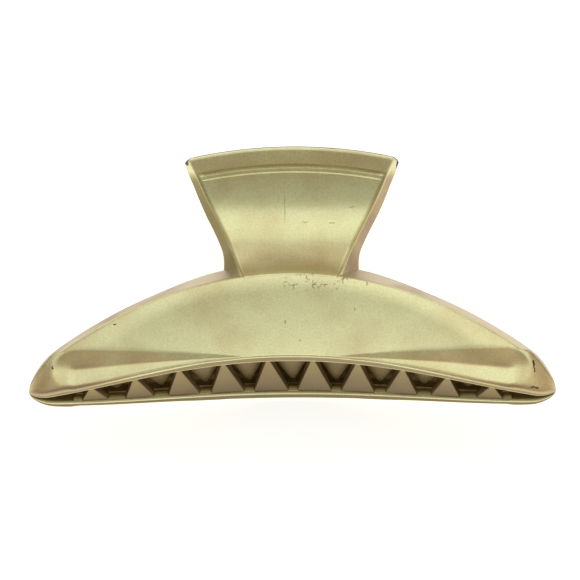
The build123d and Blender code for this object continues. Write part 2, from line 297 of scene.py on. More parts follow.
def bare_places(tree, place):
    """How far the lacquer is gone, 0 to 1: in the spots, whose edges noise makes ragged, and along the
    borders of the cells of the cracked patch, where a second noise leaves some of them."""
    ragged_size = 0.0006
    crack_spacing = 0.001
    patch_size = 0.0016
    scuff_strength = 0.42
    crack_strength = 0.7
    noise = add(tree, "ShaderNodeTexNoise", [
        ("Vector", place), ("Scale", 1 / ragged_size), ("Detail", 2.0)])
    ragged = add(tree, "ShaderNodeVectorMath", [
        (0, noise.outputs["Color"]), (1, (ragged_size,) * 3), (2, place)], operation="MULTIPLY_ADD")
    ragged = add(tree, "ShaderNodeVectorMath", [
        (0, ragged.outputs[0]), (1, (ragged_size / 2,) * 3)], operation="SUBTRACT").outputs[0]
    worn = []
    for spots, strength in ((chips, 1.0), (scuffs, scuff_strength)):
        nearest = inside_spot(tree, ragged, spots[0])
        for spot in spots[1:]:
            nearest = add(tree, "ShaderNodeMath", [
                (0, nearest), (1, inside_spot(tree, ragged, spot))], operation="MINIMUM").outputs[0]
        worn.append(add(tree, "ShaderNodeMapRange", [
            ("Value", nearest), ("From Min", 1.05), ("From Max", 0.8), ("To Max", strength)]).outputs[0])
    borders = add(tree, "ShaderNodeTexVoronoi", [
        ("Vector", ragged), ("Scale", 1 / crack_spacing)], feature="DISTANCE_TO_EDGE")
    lines = add(tree, "ShaderNodeMapRange", [
        ("Value", borders.outputs["Distance"]), ("From Min", 0.1), ("From Max", 0.03),
        ("To Max", crack_strength)])
    noise = add(tree, "ShaderNodeTexNoise", [
        ("Vector", place), ("Scale", 1 / patch_size), ("Detail", 1.0)])
    patchy = add(tree, "ShaderNodeMapRange", [
        ("Value", noise.outputs[0]), ("From Min", 0.55), ("From Max", 0.62)])
    region = add(tree, "ShaderNodeMapRange", [
        ("Value", inside_spot(tree, ragged, crackle)), ("From Min", 1.0), ("From Max", 0.6)])
    cracked = lines.outputs[0]
    for mask in (patchy, region):
        cracked = add(tree, "ShaderNodeMath", [
            (0, cracked), (1, mask.outputs[0])], operation="MULTIPLY").outputs[0]
    bare = worn[0]
    for other in (worn[1], cracked):
        bare = add(tree, "ShaderNodeMath", [(0, bare), (1, other)], operation="MAXIMUM").outputs[0]
    return bare


def sprayed_abs():
    """Satin gold lacquer with fine metal flake on dark brown moulded ABS. The flake gives a broad
    soft sheen. The colour follows a value stored on each point, which mixes thin spray with painted
    light. It is darker and browner where the spray is thin or where shade is painted in. It is tan,
    grey and rosy pale above full cover, where shade and reflection are painted in. Where it is knocked
    off, the bare brown plastic shows, rougher and without the metal. Real flake is far finer than a
    pixel of the render, so its specks are drawn 0.4 mm wide."""
    flake_size = 0.0004
    cloud_size = 0.009
    cloud_share = 0.12
    flake_height = 0.00003
    material = bpy.data.materials.new("satin_gold_lacquer_on_abs")
    material.use_nodes = True
    tree = material.node_tree
    tree.nodes.clear()
    place = add(tree, "ShaderNodeTexCoord").outputs["Object"]
    spray_and_painted_light = add(tree, "ShaderNodeAttribute", attribute_name="spray_and_painted_light").outputs["Fac"]
    flake = add(tree, "ShaderNodeTexNoise", [
        ("Vector", place), ("Scale", 1 / flake_size), ("Detail", 3.0)]).outputs[0]
    cloud = add(tree, "ShaderNodeTexNoise", [
        ("Vector", place), ("Scale", 1 / cloud_size), ("Detail", 2.0)]).outputs[0]
    uneven = add(tree, "ShaderNodeMath", [(0, cloud), (1, 0.5)], operation="SUBTRACT").outputs[0]
    uneven = add(tree, "ShaderNodeMath", [
        (0, uneven), (1, cloud_share), (2, spray_and_painted_light)], operation="MULTIPLY_ADD").outputs[0]
    # Stops above full cover, 0.86, are painted light: tan and grey are painted shade on walls and the
    # handle's foot, and the rosy pale last stop is the shoulder's painted reflection of the card. The
    # browner stops below it are thin spray and painted shade together.
    tone_with_painted_light = ramp(tree, uneven, [
        (0.0, linear("#2A1D10")),
        (0.25, linear("#5E4620")),
        (0.5, linear("#A08A54")),
        (0.62, linear("#9C8F66")),
        (0.7, linear("#C3B784")),
        (0.85, linear("#F4F1C4")),
        (0.93, linear("#D4BE90")),
        (0.965, linear("#B8A489")),
        (1.0, linear("#DCCDB4")),
    ])
    # Inputs 6 and 7 and output 2 of a Mix node are its colours.
    speckle = ramp(tree, flake, [(0.3, linear("#C9C9C9")), (0.7, linear("#FFFFFF"))])
    colour = add(tree, "ShaderNodeMix", [
        ("Factor", 0.35), (6, tone_with_painted_light), (7, speckle)], data_type="RGBA", blend_type="MULTIPLY")
    bare = bare_places(tree, place)
    colour = add(tree, "ShaderNodeMix", [
        ("Factor", bare), (6, colour.outputs[2]), (7, linear("#3A2B1E"))], data_type="RGBA")
    metal = add(tree, "ShaderNodeMapRange", [
        ("Value", spray_and_painted_light), ("From Min", 0.0), ("From Max", 0.6), ("To Min", 0.2), ("To Max", 0.97)])
    kept = add(tree, "ShaderNodeMapRange", [("Value", bare), ("To Min", 1.0), ("To Max", 0.0)])
    metal = add(tree, "ShaderNodeMath", [
        (0, metal.outputs[0]), (1, kept.outputs[0])], operation="MULTIPLY")
    rough = add(tree, "ShaderNodeMapRange", [("Value", flake), ("To Min", 0.38), ("To Max", 0.5)])
    bump = add(tree, "ShaderNodeBump", [
        ("Height", flake), ("Strength", 0.25), ("Distance", flake_height)])
    shader = add(tree, "ShaderNodeBsdfPrincipled", [
        ("Base Color", colour.outputs[2]), ("Metallic", metal.outputs[0]),
        ("Roughness", rough.outputs[0]), ("Normal", bump.outputs[0])])
    add(tree, "ShaderNodeOutputMaterial", [("Surface", shader.outputs[0])])
    return material


gold = sprayed_abs()

# How the shells were sprayed, with painted light mixed in: a value on each point from 0 on bare
# plastic to 0.86 under full gold. Below that, inside and under the rim, it is thin spray and painted
# shade together. Above it, it is painted shade, and on the shoulder it is painted reflection. The tip,
# rim edge and recess values are painted shade added to full cover.
full_cover = 0.86
# The shoulder's rosy pale tone is a painted reflection of the card, and the left shoulder is a little
# darker as painted shade.
shoulder_painted_reflection = 1.0
left_shoulder_painted_shade = 0.018
left_shoulder_shade_run = (5.0, 35.0)
# Inside faces: thin spray and painted shade together.
inside_thin_spray_and_shade = 0.4
# The rim's underside is darker as painted shade, more so on the back jaw.
rim_underside_painted_shade = {-1: 0.52, 1: 0.36}
# Painted shade, browner, on the rim's front edge towards the tips.
rim_tip_painted_shade = 0.085
rim_tip_shade_run = (26.0, 40.0)
# Painted shade, browner, on the tips past the recess's ends and on the crease there; on the right it
# starts a little further in.
tip_painted_shade = 0.075
tip_shade_run = (26.0, 38.0)
tip_crease_run = (44.5, 46.0)
left_tip_run = (45.0, 47.5)
right_tip_run = (44.4, 45.8)
# Painted shade in the recess: on its upper wall, which faces down, along its valley and on its round ends,
# heavier on the right.
recess_shade_run = (9.0, 21.0)
upper_wall_painted_shade = 0.046
upper_wall_shade_outer = 0.02
outer_wall_run = (29.0, 37.0)
below_valley = 0.12
valley_painted_shade = 0.024
valley_width = 0.14
left_end_painted_shade = 0.028
right_end_painted_shade = 0.048


def valley_at(x):
    """Height of the recess's valley: it climbs a little on its way out."""
    return recess_valley + valley_climb * smooth(*valley_climb_run, np.abs(x))


def recess_frame(x, height):
    """A place in the recess: -1 at its lower edge, 0 in the valley and 1 at its upper edge, its
    distance from the valley as a share, with a round end, and how far the round end has begun."""
    out = np.clip((np.abs(x) - recess_start) / (recess_full - recess_start), 0.02, 1.02)
    valley = valley_at(x)
    low = rim_height_at(x) + rim_ledge
    up = (height - valley) / np.maximum(recess_valley + recess_rise * out - valley, 0.05)
    down = (valley - height) / np.maximum(valley - low, 0.5)
    across = np.where(height > valley, up, -down)
    end = np.clip((np.abs(x) - recess_full) / (recess_end - recess_full), 0, None)
    return across, np.hypot(across, end), end


def recess_depth_at(x, height):
    """Depth of the recess: two plain walls from the valley, the upper one up to the front of the jaw
    and the lower one to the rim, as straight falls with hyperbolas for their round corners. It grows
    by a power on its way out, loses a share before its round end, and fades out past its edge."""
    across, away, end = recess_frame(x, height)
    floor = end_floor * smooth(*end_floor_run, end)
    out = np.clip((np.abs(x) - recess_start) / (recess_full - recess_start), 0, 1)
    deepest = recess_depth * out ** recess_growth
    deepest = deepest * (1 - end_shallowing * smooth(*end_shallow_run, np.abs(x)))
    past_floor = np.maximum(away - floor, 0) / (1 - floor)
    fall = np.sqrt(past_floor ** 2 + valley_round ** 2) - valley_round
    above = 0.5 * (1 - fall + np.sqrt((1 - fall) ** 2 + brow_round ** 2))
    at_rim = recess_rim_share * smooth(*rim_share_run, end)
    below = at_rim + (1 - at_rim) * above
    fade = smooth(1.6, 1.1, away) * smooth(1.15, 1.0, end)
    return deepest * np.where(across > 0, above, below) * fade


def recess_painted_shade(x, height):
    """Painted shade added to the spray value by the place in the recess's frame: on its upper wall,
    along its valley and on its round end, and outside it on the jaw's tip, below it and beyond its end."""
    far = np.abs(x)
    across, away, end = recess_frame(x, height)
    deep = smooth(*recess_shade_run, far)
    above_valley = across + below_valley
    facing_down = smooth(0.05, 0.9, above_valley / np.maximum(np.hypot(above_valley, end), 0.05))
    upper_wall = facing_down * smooth(-0.06, 0.1, above_valley) * smooth(1.02, 0.9, away)
    valley_line = np.exp(-(across / valley_width) ** 2) * smooth(1.0, 0.6, away) * smooth(0.5, 0.0, end)
    round_end = smooth(0.2, 0.75, end) * smooth(1.04, 0.96, away) * (1 - upper_wall)
    wall_shade = upper_wall_painted_shade + upper_wall_shade_outer * smooth(*outer_wall_run, far)
    end_shade = np.where(x < 0, left_end_painted_shade, right_end_painted_shade)
    inside = deep * (wall_shade * upper_wall + valley_painted_shade * valley_line + end_shade * round_end)
    past_end = np.maximum(smooth(*right_tip_run, x), smooth(*left_tip_run, -x))
    below = np.maximum(smooth(0.7, 0.0, across), past_end)
    outside = tip_painted_shade * below * smooth(0.96, 1.05, away) * smooth(*tip_shade_run, far)
    return inside + outside


half_sections, tip_sections = 140, 34
arc_steps = 6
lower_wall_points, upper_wall_points, brow_points = 18, 18, 34
rim_points, shoulder_points, wall_points = 5, 12, 3
inner_face_points, rim_step_points, rim_back_points = 14, 2, 4


def face_shares(x):
    """Where the points of the front stand, as shares of its height: spread evenly from the rim to the
    recess's valley, from there to its upper edge, and from there to the crease."""
    limit = np.minimum(np.abs(x), recess_end)
    low = rim_height_at(limit)
    run = crease_height_at(limit) - low
    out = np.clip((limit - recess_start) / (recess_full - recess_start), 0.1, None)
    valley = np.maximum((valley_at(limit) - low) / run, 0.05)
    brow = np.maximum((recess_valley + recess_rise * out - low) / run, 0.1)
    marks = [0 * x, valley, brow, 0 * x + 1]
    shares = []
    for start, end, count in zip(marks, marks[1:], (lower_wall_points, upper_wall_points, brow_points)):
        shares += [start + (end - start) * (i + 1) / count for i in range(count)]
    return shares[:-1]


def shell_loops(side):
    """Sections of the shell across X, from tip to tip, each with its corners rounded. Towards the
    tips a power curve draws in their height, and a circle's arc their reach."""
    straight = np.linspace(0, half_length - tip_round, half_sections)
    tip = half_length - tip_round + tip_round * np.sin(np.linspace(0, math.pi / 2, tip_sections))[1:]
    half = np.concatenate([straight, tip])
    x = np.concatenate([-half[:0:-1], half])
    far = np.abs(x)
    past = np.clip((far - (half_length - tip_round)) / tip_round, 0, 1)
    keep = (1 - past ** tip_power) ** (1 / tip_power)
    past = np.clip((far - (half_length - tip_plan_round)) / tip_plan_round, 0, 1)
    keep_plan = np.sqrt(1 - past ** 2)
    rim = rim_reach_at(x)
    low = rim_height_at(x)
    top = crease_height_at(x)
    crease = crease_reach_at(x)
    slope = shoulder + (tip_shoulder - shoulder) * smooth(*shoulder_run, far)
    outward = smooth(*crown_growth, share(x))
    tipward = smooth(*tip_growth, share(x))
    crown = crown_drop + (crown_drop_at_tip - crown_drop) * outward
    crown_reach = crown_run + (crown_run_at_tip - crown_run) * outward
    inner_drop = wall * math.tan(math.pi / 8)
    edge_drop = wall * math.sqrt(0.5)
    rim_back = np.minimum(low + rim_depth + rim_step_rise, top - inner_drop - least_inner_face)
    rim_step = np.minimum(low + rim_depth, top - inner_drop - least_step_face)
    corners = np.array([
        (rim - rim_width, low),
        (rim - recess_depth_at(x, low), low),
        (crease - crown, top),
        (crease - crown - slope, top + slope),
        (crease - slope - edge_drop, top + slope - edge_drop),
        (crease - wall, top - inner_drop),
        (rim - wall, rim_back),
        (rim - rim_width, rim_step),
    ]).transpose(0, 2, 1)
    one = np.ones_like(x)
    radii = np.array([
        rim_inner_edge * one,
        rim_edge + (rim_edge_outer - rim_edge) * smooth(*rim_edge_growth, far)
        + (rim_edge_at_tip - rim_edge_outer) * tipward,
        crease_edge + (crease_edge_at_tip - crease_edge) * tipward,
        shoulder_edge * one,
        shoulder_back_edge * one,
        crease_inner_edge * one,
        rim_step_edge * one,
        rim_step_edge * one,
    ])
    face = face_shares(x)
    between = [spread(rim_points), face] + [spread(count) for count in (
        shoulder_points, wall_points, shoulder_points, inner_face_points, rim_step_points,
        rim_back_points)]
    loop = rounded(corners, radii, arc_steps, between)
    arc = arc_steps + 1
    rim_under = slice(arc, arc + rim_points)
    rim_front = slice(rim_under.stop, rim_under.stop + arc)
    on_face = slice(rim_front.stop, rim_front.stop + len(face))
    crease_arc = slice(on_face.stop, on_face.stop + arc)
    on_shoulder = slice(crease_arc.stop, crease_arc.stop + shoulder_points + arc)
    reach, height = loop[..., 0], loop[..., 1]
    u = (height[:, on_face] - low[:, None]) / (top - low)[:, None]
    hollow = tip_hollow + (face_hollow - tip_hollow) * (1 - share(x))
    flat = rim[:, None] + (crease - rim)[:, None] * u
    carved = flat - 4 * hollow[:, None] * u * (1 - u) - recess_depth_at(x[:, None], height[:, on_face])
    carved -= crown[:, None] * np.clip(1 - (1 - u) * ((top - low) / crown_reach)[:, None], 0, 1) ** 2
    reach[:, on_face] += (carved - reach[:, on_face]) * smooth(0.0, 0.02, 1 - u) * smooth(0.0, 0.03, u)
    closed = parting_gap / 2 + parting_room
    reach = closed + (np.maximum(reach, closed) - closed) * keep_plan[:, None]
    middle = ((low + top) / 2)[:, None]
    height = middle + (height - middle) * keep[:, None]
    # Spray values: thin spray and painted shade inside and under the rim, painted shade on the rim's edge,
    # the recess and the tips, and painted reflection on the shoulder.
    spray_and_painted_light = np.full(loop.shape[:2], inside_thin_spray_and_shade)
    spray_and_painted_light[:, :crease_arc.stop] = full_cover
    spray_and_painted_light[:, rim_under] = rim_underside_painted_shade[side]
    spray_and_painted_light[:, rim_front] += rim_tip_painted_shade * smooth(*rim_tip_shade_run, far)[:, None]
    spray_and_painted_light[:, on_face] += recess_painted_shade(x[:, None], height[:, on_face])
    spray_and_painted_light[:, crease_arc] += tip_painted_shade * smooth(*tip_crease_run, far)[:, None]
    left_shade = left_shoulder_painted_shade * smooth(*left_shoulder_shade_run, -x)
    spray_and_painted_light[:, on_shoulder] = (shoulder_painted_reflection - left_shade)[:, None]
    return lay(x[:, None], side * reach, height)[None], spray_and_painted_light


for side, body in ((-1, "front"), (1, "back")):
    grids, spray_and_painted_light = shell_loops(side)
    shell = piece(body + "_shell", grids, spray_and_painted_light, body, gold)
    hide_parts(body + "_jaw")


# The thumb handles: a fan-shaped plate on each jaw, moulded in one with the shell. Its face is
# scooped up from the crease, curls outward, and ends in a lip with two fine steps and a groove.
handle_wall = 2.6
handle_height = 25.46
waist_reach = 7.3
scoop_radius = 26.0
curl_radius = 10.0
curl = math.radians(38.0)
root_half_width = 9.0
lip_half_width = 19.8
back_narrowing = 3.0
side_hollow = 0.9
root_splay = 1.12
root_splay_run = (0.0, 0.42)
side_splay = 0.63
high_splay = 0.76
high_splay_run = (0.45, 0.85)
lip_splay = 0.5
lip_splay_run = (0.88, 1.0)
foot_depth = 1.6
foot_run = (0.0, 10.0)
foot_blend = (0.0, 9.0)
lip_radius = 92.0
lip_corner = 1.5
lip_corner_run = (6.0, 1.0)
lip_edge = 0.45
side_edge = 0.45
lip_side_edge = 0.9
lip_edge_run = (4.6, 1.6)
crease_share = (0.0, 0.85)
steps_start, steps_end = 5.0, 2.7
step_places = [0, 2.95, 3.3, 3.65, 3.85, 4.5, 4.68, 5.0]
step_drops = [0, 0.25, 0.6, 0.6, 0.3, 0.3, 0.0, 0.0]
step_margin = (0.6, 1.1)
step_depth = 0.5
fold_run = 0.4
fold_inset = 0.07
fold_lean = 0.2
root_runs = [-2.4, -1.8, -1.3, -0.9, -0.55, -0.25]
root_sinks = [1.2, 0.8, 0.5, 0.26, 0.11, 0.03]
# The handle's rounded side edges are darkened as painted shade, to dull their glint.
edge_painted_shade = 0.72
# Painted shade on the side walls: grey-tan on the right, much darker on the left, away from the light.
right_side_painted_shade = 0.965
left_side_painted_shade = 0.62
# Painted shade in the lip's groove.
groove_painted_shade = 0.1
groove_places = [2.9, 3.2, 3.5, 3.8]
# A tan band at the scoop's foot: painted shade and painted reflection of the shell.
scoop_foot_painted_shade = 0.034
scoop_shade_start = (0.2, 1.5)
scoop_shade_end = (10.5, 7.0)
crease_reach = rim_reach + face_lean * (crease_height - rim_height)
scoop_angle = math.acos(1 - (crease_reach - waist_reach) / scoop_radius)
waist_height = crease_height + scoop_radius * math.sin(scoop_angle)
scoop_run = scoop_radius * scoop_angle
curl_run = curl_radius * curl
curl_end_reach = waist_reach + curl_radius * (1 - math.cos(curl))
curl_end_height = waist_height + curl_radius * math.sin(curl)
rest_reach = rim_reach + face_lean * (curl_end_height - rim_height)
lip_run = (rest_reach - curl_end_reach) / (math.sin(curl) - face_lean * math.cos(curl))
handle_run = scoop_run + curl_run + lip_run


def handle_face(s):
    """Reach, height and lean of the face at a run up from the crease: two arcs and a straight."""
    low = np.minimum(s, scoop_run)
    bend = scoop_angle - low / scoop_radius
    mid = np.clip(s - scoop_run, 0, curl_run) / curl_radius
    straight = np.maximum(s - scoop_run - curl_run, 0)
    reach = (waist_reach + scoop_radius * (1 - np.cos(bend)) + curl_radius * (1 - np.cos(mid))
             + straight * math.sin(curl))
    height = (waist_height - scoop_radius * np.sin(bend) + curl_radius * np.sin(mid)
              + straight * math.cos(curl))
    lean = np.where(s < scoop_run, bend, -mid)
    return reach, height, lean


corner_steps = 5
fold_rows, climb_rows, step_rows, band_rows, turn_rows = 7, 63, 39, 13, 6
face_points, side_points, inner_points = 56, 8, 28


def handle_loops(side):
    """Sections of the plate across its run, from inside the shell's wall up to the lip's top edge. Each
    is a trapezium that splays inward, bent along the face's arcs, and sags to the lip's curved top."""
    fold = np.linspace(0, fold_run, fold_rows)
    climb = np.linspace(fold_run, handle_run - steps_start, climb_rows + 1)[1:]
    steps_run = np.linspace(handle_run - steps_start, handle_run - steps_end, step_rows + 1)[1:]
    band = np.linspace(handle_run - steps_end, handle_run - lip_edge, band_rows + 1)[1:]
    turn = np.linspace(0, math.pi / 2, turn_rows + 1)[1:]
    s = np.concatenate([root_runs, fold, climb, steps_run, band,
                        handle_run - lip_edge * (1 - np.sin(turn)), [handle_run, handle_run]])
    inset = np.zeros_like(s)
    inset[-turn_rows - 2:-2] = lip_edge * (1 - np.cos(turn))
    inset[-2:] = lip_edge, handle_wall / 2
    from_top = handle_run - s
    drop = np.interp(from_top, step_places, step_drops)
    up = np.clip((handle_face(s)[1] - crease_height) / handle_height, 0, 1)
    width = root_half_width + (lip_half_width - root_half_width) * up - 4 * side_hollow * up * (1 - up)
    width = width - (back_narrowing if side > 0 else 0)
    splay = side_splay + (root_splay - side_splay) * (1 - smooth(*root_splay_run, up))
    splay = splay + (high_splay - side_splay) * smooth(*high_splay_run, up)
    splay = splay - (high_splay - lip_splay) * smooth(*lip_splay_run, up)
    back = handle_wall + foot_depth * (1 - smooth(*foot_run, s)) - inset
    wide = width - np.minimum(inset, lip_edge)
    inner_wide = wide + splay * (back - inset)
    corners = np.array([(-wide, inset), (wide, inset), (inner_wide, back), (-inner_wide, back)])
    corners = corners.transpose(0, 2, 1)
    at_lip = smooth(*lip_edge_run, from_top)
    radii = np.full(corners.shape[:2], side_edge)
    radii[:2] += (lip_side_edge - side_edge) * at_lip
    between = [spread(count) for count in (face_points, side_points, inner_points, side_points)]
    loop = rounded(corners, radii, corner_steps, between)
    x, depth = loop[..., 0], loop[..., 1]
    stepped = smooth(*step_margin, wide[:, None] - np.abs(x))
    stepped = stepped * (depth < inset[:, None] + step_depth)
    depth = depth + drop[:, None] * stepped
    crease = crease_height_at(x)
    rise = smooth(*crease_share, np.clip(s / handle_run, 0, 1))[:, None]
    sag = lip_radius - np.sqrt(lip_radius ** 2 - x ** 2)
    corner_start = (wide + splay * handle_wall)[:, None] - lip_corner
    near = np.clip((np.abs(x) - corner_start) / lip_corner, 0, 1)
    sag = sag + lip_corner * (1 - np.sqrt(1 - near ** 2)) * smooth(*lip_corner_run, from_top)[:, None]
    run = np.maximum(s, 0)[:, None] + (crease - crease_height) / math.cos(scoop_angle) * (1 - rise)
    run = run - sag * rise
    reach, height, lean = handle_face(run)
    foot = handle_face((crease - crease_height) / math.cos(scoop_angle))[0]
    pull = crease_reach_at(x) - crown_drop + fold_inset - foot
    reach = reach + pull * (1 - smooth(*foot_blend, s))[:, None]
    down = np.minimum(s, 0)[:, None]
    height = height + down
    turned = np.clip(s / fold_run, 0, 1)
    set_back = np.where(s < 0, crown_drop * (np.clip(1 + s / crown_run, 0, 1) ** 2 - 1) + fold_inset,
                        fold_inset * (1 - turned) ** 2)
    sunk = np.interp(s, root_runs + [0], root_sinks + [0])
    reach = reach + face_lean * down - (set_back + sunk)[:, None]
    lean = lean * (fold_lean + (1 - fold_lean) * turned)[:, None]
    reach = reach - depth * np.cos(lean)
    height = height - depth * np.sin(lean)
    grid = lay(x, side * reach, height)
    end = grid[:1].mean(1, keepdims=True) + 0 * grid[:1]
    grid = np.concatenate([end, grid], 0)
    arc, half_arc = corner_steps + 1, (corner_steps + 1) // 2
    face = slice(arc, arc + face_points)
    right_side = slice(face.stop + arc, face.stop + arc + side_points + half_arc)
    inner = slice(right_side.stop, right_side.stop + inner_points + 2 * half_arc)
    column = np.arange(grid.shape[1])
    on_face = (column >= face.start) & (column < face.stop)
    on_inner = (column >= inner.start) & (column < inner.stop)
    # Spray values on the handle, with the painted shade set above; near the lip the sides and edges go
    # back to full gold.
    spray_and_painted_light = np.full(grid.shape[1], edge_painted_shade)
    spray_and_painted_light[face] = full_cover
    spray_and_painted_light[right_side] = right_side_painted_shade
    spray_and_painted_light[inner] = inside_thin_spray_and_shade
    spray_and_painted_light[inner.stop:] = left_side_painted_shade
    groove_shade = np.interp(from_top, groove_places, [0.0, groove_painted_shade, groove_painted_shade, 0.0])
    scoop_shade = scoop_foot_painted_shade * smooth(*scoop_shade_start, s) * smooth(*scoop_shade_end, s)
    spray_and_painted_light = spray_and_painted_light - groove_shade[:, None] * stepped + scoop_shade[:, None] * on_face
    spray_and_painted_light = spray_and_painted_light + at_lip[:, None] * ~(on_face | on_inner) * (full_cover - spray_and_painted_light)
    spray_and_painted_light = np.concatenate([spray_and_painted_light[:1], spray_and_painted_light], 0)
    return grid[None], spray_and_painted_light


for side, body in ((-1, "front"), (1, "back")):
    grids, spray_and_painted_light = handle_loops(side)
    handle = piece(body + "_handle", grids, spray_and_painted_light, body, gold)
    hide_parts(body + "_jaw")


# The combs: a row of flat tapered teeth inside the rim of each jaw, moulded in one with it. The back
# jaw's teeth are blunt and reach to the front rim; the front jaw's are pointed and lie over their gaps.
pitch = 8.4
notches_each_side = 4
comb_wall = 1.8
comb_recess = 0.4
comb_gap = 0.2
root_inset = 0.5
notch_half_width = 0.86
end_notch_half_width = 1.6
tooth_tip_half_width = 0.35
point_half_width = 0.3
tooth_clearance = 0.4
point_clearance = 0.8
comb_edge = 0.12
tooth_overlap = 0.3
point_spread = 1.06
tip_close = 0.06
bar_overlap = 0.8
front_bar_width = 0.9
back_bar_extra = 4.0
root_top_edge = 0.4
draft_low = 0.3
draft_high = 0.25
root_draft = 0.25
# Thin spray and painted shade together on the root bars and on the teeth's sides.
comb_spray_and_shade = 0.5
side_spray_and_shade = 0.31
# Painted highlights on the back root bar's lower inner edge and on its top edge.
root_low_painted_highlight = 0.7
root_top_painted_highlight = 0.75
# Painted shade on the teeth's lower faces, base to tip: the front teeth darker towards their tips, the
# back teeth much darker towards their roots.
point_spray_and_shade = (0.44, 0.36)
blunt_spray_and_shade = (0.3, 0.52)
shade_power = 0.8
tooth_rows = 24
bar_rows = 120
comb_arc_steps = 3


def notch_root_at(x):
    """Reach of a notch's closed end: inside the rim, less a hump at the middle of the jaw."""
    inner = rim_reach_at(x) - rim_width
    return inner - root_inset * np.maximum(0.0, 1 - (x / (notches_each_side * pitch)) ** 2)


def teeth(middle, base, tip, base_width, tip_width, drop, low_draft, high_draft):
    """Teeth carried from base to tip, all at once: a flat section that narrows in a straight taper.
    Its sides meet in a blunt ridge at half the wall, where the two halves of the mould part."""
    u = np.append(np.linspace(0, 1, tooth_rows), 1.0)
    end = np.zeros(tooth_rows + 1)
    end[-2:] = tip_close, 1.0
    half = (base_width[:, None] * (1 - u) + tip_width * u) * (1 - end)
    y = base[:, None] * (1 - u) + tip[:, None] * u
    left = middle[:, None] - half
    right = middle[:, None] + half
    low = drop + 0 * left + end * comb_wall / 2
    high = drop + comb_wall + 0 * left - end * comb_wall / 2
    ridge = (low + high) / 2
    out = low_draft * (1 - u) * (1 - end)
    back = high_draft * (1 - u) * (1 - end)
    corners = np.array([(left, low), (right, low), (right + out, ridge), (right - back, high),
                        (left + back, high), (left - out, ridge)])
    corners = corners.transpose(0, 2, 3, 1).reshape(6, -1, 2)
    radii = np.full(corners.shape[:2], comb_edge)
    loop = rounded(corners, radii, comb_arc_steps, [[0.5]] * 6)
    loop = loop.reshape(len(middle), len(u), -1, 2)
    x = loop[..., 0]
    return x, y[..., None] + 0 * x, rim_height_at(x) + loop[..., 1]


def root_bar(inner_edge, drop, reach_end):
    """The strip that the teeth stand on: a flat section carried along the inside of the rim."""
    x = np.linspace(-reach_end, reach_end, bar_rows)
    outer = rim_reach_at(x) - rim_width + bar_overlap
    inner = inner_edge(x)
    low = drop + 0 * x
    half = comb_wall / 2
    corners = np.array([(outer, low), (inner, low), (inner - root_draft, low + half),
                        (inner, low + comb_wall), (outer, low + comb_wall)])
    corners = corners.transpose(0, 2, 1)
    radii = np.full(corners.shape[:2], comb_edge)
    radii[3] = root_top_edge
    loop = rounded(corners, radii, comb_arc_steps, [[0.5]] * 5)
    loop = np.concatenate([loop[:1].mean(1, keepdims=True) + 0 * loop[:1], loop,
                           loop[-1:].mean(1, keepdims=True) + 0 * loop[-1:]], 0)
    x = np.concatenate([x[:1], x, x[-1:]])[:, None] + 0 * loop[..., 0]
    return x, loop[..., 0], rim_height_at(x) + loop[..., 1]


def closed_ends(x, y, z):
    """Adds a point row at the base of each tooth."""
    return [np.concatenate([v[:, :1].mean(2, keepdims=True) + 0 * v[:, :1], v], 1) for v in (x, y, z)]


def tooth_spray_and_shade(base, tip):
    """Spray and painted shade on a tooth: its lower face goes from a base tone to a tip tone, with
    painted shade darker towards the tips of the front teeth and the roots of the back ones, and its
    other sides take the tone of thin spray and painted shade.
    """
    along = np.concatenate([[0.0], np.linspace(0, 1, tooth_rows), [1.0]])
    spray_and_painted_light = np.full((tooth_rows + 2, 6 * (comb_arc_steps + 2)), side_spray_and_shade)
    spray_and_painted_light[:, comb_arc_steps:comb_arc_steps + 3] = (base + (tip - base) * along ** shade_power)[:, None]
    return spray_and_painted_light


back_drop = comb_recess
front_drop = comb_recess + comb_wall + comb_gap
k = np.arange(-notches_each_side, notches_each_side + 1)
points = k * pitch
point_base = rim_reach_at(points) - rim_width + tooth_overlap
point_tip = -(notch_root_at(points) - point_clearance)
point_half = np.full(len(k), pitch / 2 * point_spread)
x, y, z = teeth(points, point_base, point_tip, point_half, point_half_width, front_drop, 0.0, 0.0)
x, y, z = closed_ends(x, y, z)
comb = piece("front_comb_teeth", lay(x, -y, z), tooth_spray_and_shade(*point_spray_and_shade), "front", gold)
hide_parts("front_jaw")
comb_end = (notches_each_side + 0.5) * pitch
x, y, z = root_bar(lambda v: rim_reach_at(v) - rim_width - front_bar_width, front_drop, comb_end)
bar = piece("front_comb_root", lay(x, -y, z)[None], side_spray_and_shade, "front", gold)
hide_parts("front_jaw")

k = np.arange(-notches_each_side - 1, notches_each_side + 1)
blunt = (k + 0.5) * pitch
nearest = np.minimum(np.abs(k + 0.5), notches_each_side) / notches_each_side
half = pitch / 2 - (notch_half_width + (end_notch_half_width - notch_half_width) * nearest ** 2)
blunt_base = notch_root_at(blunt) + tooth_overlap
blunt_tip = -(rim_reach_at(blunt) - rim_width - tooth_clearance)
x, y, z = teeth(blunt, blunt_base, blunt_tip, half, tooth_tip_half_width,
                back_drop, draft_low, draft_high)
comb = piece("back_comb_teeth", lay(*closed_ends(x, y, z)), tooth_spray_and_shade(*blunt_spray_and_shade), "back", gold)
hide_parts("back_jaw")
x, y, z = root_bar(notch_root_at, back_drop, comb_end + back_bar_extra)
corner_points = comb_arc_steps + 2
root_spray_and_highlights = np.full(5 * corner_points, comb_spray_and_shade)
root_spray_and_highlights[corner_points:2 * corner_points] = root_low_painted_highlight
root_spray_and_highlights[3 * corner_points:4 * corner_points - 1] = root_top_painted_highlight
bar = piece("back_comb_root", lay(x, y, z)[None], root_spray_and_highlights, "back", gold)
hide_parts("back_jaw")


